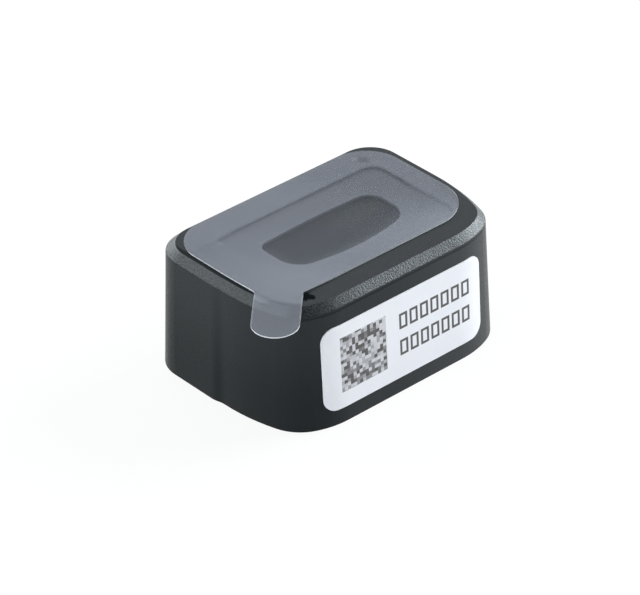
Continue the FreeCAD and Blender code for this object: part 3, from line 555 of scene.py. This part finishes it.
WINDOW_HALF = 5.125
WINDOW_FRONT_Y = -2.64
WINDOW_FRONT_BOW = 0.8
WINDOW_BACK_Y = 1.96
WINDOW_BACK_BOW = 0.2
CLEAR_SHIFT = (-0.22, -0.25)     # the film's clear area lies that far off the opening
WINDOW_FRONT_CORNER = 1.3
WINDOW_KEY_CORNER = 0.7
WINDOW_BACK_CORNER = 1.2
# Spots of painted shade in the dent and of painted highlights on the bubble and at the crease's left
# end.
DENT_SPOT = (7.2, 4.85)
BLISTER_SPOT = (6.87, 5.44)
STREAK_SPOT = (-7.0, 3.55)
FACE_CORNER = (-5.55, -3.03)     # middle and radius of the casing's near corner under the tab
FACE_CORNER_RADIUS = 3.73
FILM_HAZE = (0.294, 0.312, 0.364)
FILM_GLOSS = 0.1
FULL_COVER = 0.242               # how much one face of the film hides
CLEAR_COVER = (0.066, 0.09)      # the same over the window, at its middle and its edge, where it is raised as painted light
DIAGONAL = 1 / math.sqrt(2)
EDGE_PALE = (0.88, 0.93, 0.95)
EDGE_GLOW = (0.9, 0.96, 1.0)
EDGE_GLOW_STRENGTH = 0.065

film_low, film_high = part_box("protective_film")
film_right_x = film_high.x / MM
film_back_y = film_high.y / MM
film_z = film_low.z / MM + FILM_LIFT
film_size_x = film_right_x - FILM_LEFT_X
film_size_y = film_back_y - FILM_FRONT_Y

bpy.ops.object.select_all(action="DESELECT")
bpy.ops.mesh.primitive_grid_add(
    x_subdivisions=round(film_size_x / GRID_STEP), y_subdivisions=round(film_size_y / GRID_STEP),
    size=1, location=((FILM_LEFT_X + film_size_x / 2) * MM,
                      (FILM_FRONT_Y + film_size_y / 2) * MM, 0))
film = bpy.context.object
film.name = "peel_film"
film.scale = (film_size_x * MM, film_size_y * MM, 1)
bpy.ops.object.transform_apply(location=True, rotation=False, scale=True)
bpy.ops.object.mode_set(mode="EDIT")


def choose(piece, kind, test):
    """Select the faces or edges of the piece in edit mode whose middle passes the test."""
    bpy.ops.mesh.select_all(action="DESELECT")
    bpy.ops.mesh.select_mode(type="FACE" if kind == "faces" else "EDGE")
    body = bmesh.from_edit_mesh(piece.data)
    for item in getattr(body, kind):
        middle = sum((corner.co for corner in item.verts), Vector()) / len(item.verts) / MM
        if test(middle):
            item.select_set(True)
    bmesh.update_edit_mesh(piece.data)


def trim_past(point, heading, test=lambda middle: True):
    """Cut away what lies past a line through point, square to heading in degrees."""
    choose(film, "faces", test)
    aim = math.radians(heading)
    bpy.ops.mesh.bisect(plane_co=point * MM, plane_no=(math.cos(aim), math.sin(aim), 0),
                        clear_outer=True, threshold=CUT_EXACTNESS * MM)


def round_off(centre, radius, first, last, cuts, test=lambda middle: True):
    """Trim to an arc about centre, from one heading to another, by many short cuts."""
    for index in range(cuts):
        heading = first + (last - first) * (index + 0.5) / cuts
        aim = math.radians(heading)
        trim_past(centre + radius * Vector((math.cos(aim), math.sin(aim), 0)), heading, test)


back_y = film_back_y - FILM_BACK_CORNER
round_off(Vector((film_right_x - FILM_BACK_CORNER, back_y, 0)),
          FILM_BACK_CORNER, 0, 90, CORNER_CUTS)
round_off(Vector((FILM_LEFT_X + FILM_BACK_CORNER, back_y, 0)),
          FILM_BACK_CORNER, 90, 180, CORNER_CUTS)
round_off(Vector((film_right_x - FILM_FRONT_CORNER, FILM_FRONT_Y + FILM_FRONT_CORNER, 0)),
          FILM_FRONT_CORNER, 270, 360, CORNER_CUTS)

tab_aim = Vector((math.cos(math.radians(TAB_HEADING)), math.sin(math.radians(TAB_HEADING)), 0))
cut_in = TAB_WIDTH / math.sqrt(2)
cut_middle = Vector((FILM_LEFT_X + cut_in / 2, FILM_FRONT_Y + cut_in / 2, 0))
trim_past(cut_middle, TAB_HEADING)
choose(film, "edges", lambda middle: abs((middle - cut_middle).dot(tab_aim)) < NEAR_CUT)
tab_end = TAB_ROOT + tab_aim * TAB_REACH
side_shift = (TAB_ROOT - cut_middle) - (TAB_ROOT - cut_middle).dot(tab_aim) * tab_aim
tab_steps = round((tab_end - cut_middle).dot(tab_aim) / GRID_STEP)
tab_step = (tab_end - cut_middle).dot(tab_aim) / tab_steps * tab_aim
for index in range(tab_steps):
    push = tab_step + side_shift if index == 0 else tab_step
    bpy.ops.mesh.extrude_region_move(TRANSFORM_OT_translate={"value": push * MM})
tab_round = tab_end - tab_aim * TAB_WIDTH / 2
round_off(tab_round, TAB_WIDTH / 2, TAB_HEADING - 90, TAB_HEADING + 90, 2 * CORNER_CUTS,
          lambda middle: (middle - tab_round).dot(tab_aim) > -GRID_STEP)
bpy.ops.mesh.select_all(action="SELECT")
bpy.ops.mesh.remove_doubles(threshold=MERGE_REACH * MM)
bpy.ops.object.mode_set(mode="OBJECT")


def smooth(value):
    """Value held between 0 and 1, with soft ends."""
    value = min(1.0, max(0.0, value))
    return value * value * (3 - 2 * value)


def past_pocket_rim(x, y):
    """Distance outside the recess's rim in mm, negative inside it."""
    over_x = abs(x) - (POCKET_HALF - POCKET_CORNER)
    over_y = abs(y - POCKET_MIDDLE_Y) - ((POCKET_BACK_Y - POCKET_FRONT_Y) / 2 - POCKET_CORNER)
    return (math.hypot(max(over_x, 0), max(over_y, 0)) + min(max(over_x, over_y), 0)
            - POCKET_CORNER)


def film_rise(x, y):
    """How far the film's underside lies above the optical face, in mm."""
    rim = past_pocket_rim(x, y)
    near_front = smooth((1.5 - y) / 5.0)
    near_left = smooth((-x - 5.0) / 3.0)
    ramp = SAG_RAMP + FRONT_RAMP * near_front + LEFT_RAMP * near_left
    rise = -FILM_SAG * smooth((0.1 - rim) / ramp)
    from_root = (Vector((x, y, 0)) - TAB_ROOT).length
    rise += TAB_RISE * smooth(1 - from_root / TAB_RISE_REACH)
    return rise


for vertex in film.data.vertices:
    vertex.co.z = (film_z + film_rise(vertex.co.x / MM, vertex.co.y / MM)) * MM

film_finish = new_material("hazy_film", FILM_HAZE, roughness=0.45)
shader_of(film_finish).inputs["Specular IOR Level"].default_value = FILM_GLOSS
edge_finish = new_material("film_cut_edge", EDGE_PALE, roughness=0.3)
film.data.materials.append(film_finish)
film.data.materials.append(edge_finish)
thicken = film.modifiers.new("thickness", "SOLIDIFY")
thicken.thickness = FILM_THICKNESS * MM
thicken.offset = 1
thicken.material_offset_rim = 1
bpy.ops.object.modifier_apply(modifier=thicken.name)
bpy.ops.object.shade_smooth_by_angle(angle=math.radians(SMOOTH_ANGLE))

film_place = place_in_mm(film_finish)
film_x, film_y = axes_of(film_finish, film_place)[:2]


def rounded_gap(material, gaps, corner):
    """Distance outside a form in mm, from the gaps to its sides and its corner radius."""
    shifted = [calc(material, "ADD", gap, corner) for gap in gaps]
    outer = add_node(material, "CombineXYZ")
    for socket, gap in zip(outer.inputs, shifted):
        plug(material, calc(material, "MAXIMUM", gap, 0.0), socket)
    length = add_node(material, "VectorMath", operation="LENGTH")
    plug(material, outer.outputs[0], length.inputs[0])
    deepest = calc(material, "MAXIMUM", shifted[0], shifted[1])
    if len(shifted) == 3:
        deepest = calc(material, "MAXIMUM", deepest, shifted[2])
    distance = calc(material, "ADD", length.outputs["Value"],
                    calc(material, "MINIMUM", deepest, 0.0))
    return calc(material, "SUBTRACT", distance, corner)


def bowed_gap(material, x, y, crown_y, bow, side):
    """Distance outside one of the window's bowed long sides in mm."""
    radius = (WINDOW_HALF ** 2 + bow ** 2) / (2 * bow)
    off_y = calc(material, "SUBTRACT", y, crown_y - side * radius)
    reach = calc(material, "SQRT", calc(material, "MULTIPLY_ADD", x, x,
                                        product(material, off_y, off_y)))
    return calc(material, "SUBTRACT", reach, radius)


corner_back = fade(film_finish, film_x, -1.0, 1.0, WINDOW_KEY_CORNER, WINDOW_BACK_CORNER)
corner_here = fade(film_finish, film_y, -1.0, 0.5, WINDOW_FRONT_CORNER, corner_back)
clear_x = calc(film_finish, "SUBTRACT", film_x, CLEAR_SHIFT[0])
clear_y = calc(film_finish, "SUBTRACT", film_y, CLEAR_SHIFT[1])
window_gap = rounded_gap(film_finish, (
    bowed_gap(film_finish, clear_x, clear_y, WINDOW_BACK_Y, WINDOW_BACK_BOW, 1),
    bowed_gap(film_finish, clear_x, clear_y, WINDOW_FRONT_Y, WINDOW_FRONT_BOW, -1),
    calc(film_finish, "SUBTRACT", calc(film_finish, "ABSOLUTE", clear_x), WINDOW_HALF)), corner_here)
off_middle = calc(film_finish, "ABSOLUTE", calc(film_finish, "SUBTRACT", film_y, POCKET_MIDDLE_Y))
pocket_gap = rounded_gap(film_finish, (
    calc(film_finish, "SUBTRACT", calc(film_finish, "ABSOLUTE", film_x), POCKET_HALF),
    calc(film_finish, "SUBTRACT", off_middle, POCKET_BACK_Y - POCKET_MIDDLE_Y)), POCKET_CORNER)


def away_from(material, place, centre):
    """Distance from centre (x, y in mm), seen from above."""
    flat = add_node(material, "VectorMath", operation="MULTIPLY")
    plug(material, place, flat.inputs[0])
    flat.inputs[1].default_value = (1.0, 1.0, 0.0)
    away = add_node(material, "VectorMath", operation="DISTANCE")
    plug(material, flat.outputs[0], away.inputs[0])
    away.inputs[1].default_value = (*centre, 0.0)
    return away.outputs["Value"]


def spot(material, place, centre, reach, soft):
    """1 near centre (x, y in mm), fading out past reach over soft."""
    return fade(material, away_from(material, place, centre), reach + soft, reach)


off_window = fade(film_finish, window_gap, -0.04, 0.04)
toward_tab = product(film_finish, calc(film_finish, "ADD", film_x, film_y), -DIAGONAL)
x_less_y = calc(film_finish, "SUBTRACT", film_x, film_y)
across_tab = product(film_finish, x_less_y, DIAGONAL)
off_middle_line = calc(film_finish, "ABSOLUTE", calc(
    film_finish, "SUBTRACT", x_less_y, TAB_ROOT.x - TAB_ROOT.y))
near_tab = fade(film_finish, toward_tab, 8.0, 8.2)
past_face = calc(film_finish, "SUBTRACT", away_from(film_finish, film_place, FACE_CORNER),
                 FACE_CORNER_RADIUS)
off_face = product(film_finish, near_tab, fade(film_finish, past_face, -0.05, 0.05))
# Painted sheen: the tab is hazier, and so lighter, where it lies over the chamfer at its left.
over_chamfer = product(film_finish, fade(film_finish, across_tab, -3.1, -4.4),
                       fade(film_finish, past_face, 0.6, 0.45))
tab_share = fade(film_finish, over_chamfer, 0.0, 1.0, 0.4, 1.05)
haze = product(film_finish, off_window, fade(film_finish, off_face, 0.0, 1.0, 1.0, tab_share))
# Painted light: over the window the haze thickens toward the opening's edge, lightening the shade the
# opening's wall leaves there.
through_window = fade(film_finish, window_gap, -0.9, -0.1, *CLEAR_COVER)
cover = fade(film_finish, haze, 0.0, 1.0, through_window, FULL_COVER)

# Painted light and shade: the haze is thinner, so the film darker, toward the recess's back, the right
# and the right corner, and thicker, so lighter, at the front and toward the tab.
in_recess = product(film_finish,
                    fade(film_finish, film_y, POCKET_BACK_Y + 0.1, POCKET_BACK_Y - 0.2),
                    fade(film_finish, film_x, POCKET_HALF + 0.1, POCKET_HALF - 0.2))
toward_back = product(film_finish, in_recess, fade(film_finish, calc(
    film_finish, "ADD", film_y, product(film_finish, film_x, 0.35)), -2.5, 4.5))
front_gain = product(film_finish, fade(film_finish, film_y, -1.5, -4.6),
                     fade(film_finish, film_x, -4.0, 6.0, 0.12, 0.3))
aslant = calc(film_finish, "MULTIPLY_ADD", film_y, 0.5, film_x)
toward_right = calc(film_finish, "MULTIPLY_ADD", film_y, -0.3, film_x)
painted_shading = product(film_finish, fade(film_finish, toward_back, 0.0, 1.0, 1.04, 0.79),
                  fade(film_finish, aslant, 2.0, 8.0, 1.02, 0.84),
                  calc(film_finish, "ADD", front_gain, 1.0),
                  fade(film_finish, toward_tab, 3.5, 7.0, 1.0, 1.14),
                  fade(film_finish, toward_right, 8.6, 9.4, 1.0, 0.88))
cloud = fade(film_finish, grain(film_finish, film_place, per_mm=0.3, detail=2.0), 0.2, 0.8, 0.96, 1.04)
mottle = uneven(film_finish, grain(film_finish, film_place, per_mm=3.6, detail=4.0), 0.95, 1.05)

# Painted shade and highlights in the haze: a dark line along the crease at the recess's rim with a
# lighter band outside it, a dark line where the film bends at the face's edge under the tab, glints
# along the tab's sides, a sheen along the front edge, a dark middle in the dent, and highlights on the
# bubble and at the crease's left end.
wander = calc(film_finish, "MULTIPLY_ADD",
              grain(film_finish, film_place, per_mm=4.2, detail=3.0), 1.5, -0.73)
crease = inside(film_finish, calc(film_finish, "ADD", pocket_gap, wander), -0.06, 0.06, 0.05)
crease_fades = product(
    film_finish, fade(film_finish, grain(film_finish, film_place, per_mm=2.2), 0.3, 0.55, 0.45, 1.0),
    fade(film_finish, calc(film_finish, "MULTIPLY_ADD", film_x, 0.6, film_y), -1.6, 0.4))
fold = inside(film_finish, pocket_gap, 0.06, 0.45, 0.1)
edge_fold = product(film_finish, near_tab, inside(film_finish, past_face, -0.15, 0.0, 0.05))
tab_rim = product(film_finish, fade(film_finish, toward_tab, 8.7, 8.9), fade(
    film_finish, product(film_finish, off_middle_line, DIAGONAL),
    TAB_WIDTH / 2 - 0.13, TAB_WIDTH / 2 - 0.07))
front_sheen = product(film_finish, fade(film_finish, film_y, -4.0, -4.75),
                      fade(film_finish, film_x, 2.0, 6.0))
dent = spot(film_finish, film_place, DENT_SPOT, 0.17, 0.4)
blister = spot(film_finish, film_place, BLISTER_SPOT, 0.09, 0.22)
streak = spot(film_finish, film_place, STREAK_SPOT, 0.08, 0.25)
marks = 1.0
for mark, strength in ((product(film_finish, crease, crease_fades), -0.4), (fold, 0.07),
                       (edge_fold, -0.2), (tab_rim, 0.5), (front_sheen, 0.12), (dent, -0.42),
                       (calc(film_finish, "ADD", blister, streak), 0.42)):
    marks = calc(film_finish, "MULTIPLY_ADD", mark, strength, marks)
alpha = product(film_finish, product(film_finish, marks, cover),
                product(film_finish, painted_shading, cloud), mottle)
plug(film_finish, alpha, shader_of(film_finish).inputs["Alpha"])
relief(film_finish, grain(film_finish, film_place, per_mm=3.0, detail=3.0), depth_mm=0.001)

# Painted glint: the film's cut edge is painted paler and glows faintly, most along its left and front
# sides.
edge_place = place_in_mm(edge_finish)
edge_grain = grain(edge_finish, edge_place, per_mm=8.0)
edge_x, edge_y = axes_of(edge_finish, edge_place)[:2]
left_glint = product(edge_finish, fade(edge_finish, edge_x, -6.6, -7.2),
                     fade(edge_finish, edge_y, 5.0, 3.6))
right_glint = product(edge_finish, fade(edge_finish, edge_x, -6.0, 8.8, 0.5, 1.2),
                      fade(edge_finish, edge_y, -1.0, -3.2), 0.7)
glint = product(edge_finish, calc(edge_finish, "MAXIMUM", left_glint, right_glint),
                uneven(edge_finish, edge_grain, 0.75, 1.0))
edge_shader = shader_of(edge_finish)
plug(edge_finish, fade(edge_finish, glint, 0.0, 1.0, 0.12, 0.7), edge_shader.inputs["Alpha"])
plug(edge_finish, EDGE_GLOW, edge_shader.inputs["Emission Color"])
plug(edge_finish, product(edge_finish, glint, EDGE_GLOW_STRENGTH),
     edge_shader.inputs["Emission Strength"])
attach(film, "film")
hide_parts("protective_film")

# Studio: a white table that runs on out of view, under a white surround. Seen directly, in a
# gloss or through clear pieces both are plain white, but for the share of the table that is its
# lit surface, so a soft shadow stays.
FLOOR_SIDE = 4.0
SHADOW_KEPT = 0.1
SHADOW_REACH = 60.0
TABLE_WHITE = (0.82, 0.83, 0.84)
SURROUND_LIGHT = 0.13            # how strongly the surround lights the object


def looked_at(material):
    """1 for rays from the camera, from a gloss or through clear pieces."""
    ray = add_node(material, "LightPath")
    direct = calc(material, "MAXIMUM", ray.outputs["Is Camera Ray"],
                  ray.outputs["Is Transmission Ray"])
    return calc(material, "MAXIMUM", direct, ray.outputs["Is Glossy Ray"])


bpy.ops.object.select_all(action="DESELECT")
bpy.ops.mesh.primitive_plane_add(size=FLOOR_SIDE, location=(0, 0, 0))
bpy.ops.object.transform_apply(location=True, rotation=False, scale=False)
table = bpy.context.object
table.name = "white_table"
table_finish = new_material("table_white", TABLE_WHITE, roughness=0.9)
from_object = add_node(table_finish, "VectorMath", operation="LENGTH")
plug(table_finish, place_in_mm(table_finish), from_object.inputs[0])
plain = fade(table_finish, from_object.outputs["Value"], SHADOW_REACH, 3 * SHADOW_REACH,
             1 - SHADOW_KEPT, 1.0)
sight = product(table_finish, looked_at(table_finish), plain)
glow = add_node(table_finish, "Emission")
blend_in = add_node(table_finish, "MixShader")
plug(table_finish, sight, blend_in.inputs[0])
plug(table_finish, shader_of(table_finish).outputs[0], blend_in.inputs[1])
plug(table_finish, glow.outputs[0], blend_in.inputs[2])
plug(table_finish, blend_in.outputs[0],
     table_finish.node_tree.nodes["Material Output"].inputs["Surface"])
table.data.materials.append(table_finish)

world = bpy.data.worlds.new("studio")
bpy.context.scene.world = world
world.use_nodes = True
surround = world.node_tree.nodes["Background"]
surround.inputs["Color"].default_value = (1.0, 1.0, 1.0, 1.0)
level = add_node(world, "MapRange")
plug(world, looked_at(world), level.inputs["Value"])
level.inputs["To Min"].default_value = SURROUND_LIGHT
level.inputs["To Max"].default_value = 1.0
plug(world, level.outputs[0], surround.inputs["Strength"])

# Lamps: two soft boxes low on the right pick out the chamfer and the wall, two behind give the
# face its even sheen, and two on the left are weaker.
LAMP_COLOUR = (0.93, 0.975, 1.0)
LAMPS = (                        # heading and height in degrees, distance and side in m, watts
    ("back_box", 95, 20, 0.6, 0.4, 2.3),
    ("back_right_box", 49, 33, 0.6, 0.4, 1.55),
    ("right_low_box", 11, 8, 0.6, 0.4, 0.6),
    ("right_box", -16, 27, 0.5, 0.3, 4.1),
    ("left_box", 185, 25, 0.5, 0.3, 1.5),
    ("left_back_box", 131, 33, 0.5, 0.3, 0.48))


def soft_box(name, heading, height, distance, side, power):
    """Square lamp that looks at the object; heading turns from +X to +Y, both angles in degrees."""
    turn = math.radians(heading)
    rise = math.radians(height)
    stand = distance * Vector((math.cos(turn) * math.cos(rise), math.sin(turn) * math.cos(rise),
                               math.sin(rise)))
    data = bpy.data.lights.new(name, "AREA")
    data.size = side
    data.energy = power
    data.color = LAMP_COLOUR
    lamp = bpy.data.objects.new(name, data)
    bpy.context.scene.collection.objects.link(lamp)
    turned = stand.to_track_quat("Z", "Y").to_matrix().to_4x4()
    lamp.matrix_world = Matrix.Translation(stand) @ turned


for lamp_row in LAMPS:
    soft_box(*lamp_row)

# Camera: a long lens above the near corner. Its height, turn and distance were fitted to the
# straight edges and the silhouette in the photograph.
VIEW_HEADING = -41.0747
VIEW_HEIGHT = 33.476
VIEW_ROLL = -1.2034
VIEW_DISTANCE = 235.408
VIEW_TARGET = Vector((-1.7154, -0.5512, 4.752))
SENSOR_WIDTH = 36.0
FOCAL_LENGTH = 195.54
CLIP_START = 0.01

heading = math.radians(VIEW_HEADING)
height = math.radians(VIEW_HEIGHT)
roll = math.radians(VIEW_ROLL)
back = Vector((math.sin(heading) * math.cos(height), -math.cos(heading) * math.cos(height),
               math.sin(height)))
level_right = (-back).cross(Vector((0, 0, 1))).normalized()
level_up = level_right.cross(-back)
right = level_right * math.cos(roll) + level_up * math.sin(roll)
up = level_up * math.cos(roll) - level_right * math.sin(roll)
eye = bpy.data.cameras.new("eye")
eye.sensor_width = SENSOR_WIDTH
eye.lens = FOCAL_LENGTH
eye.clip_start = CLIP_START
camera = bpy.data.objects.new("eye", eye)
bpy.context.scene.collection.objects.link(camera)
camera.matrix_world = (Matrix.Translation((VIEW_TARGET + back * VIEW_DISTANCE) * MM)
                       @ Matrix((right, up, back)).transposed().to_4x4())
bpy.context.scene.camera = camera
bpy.context.scene.view_settings.view_transform = "Standard"
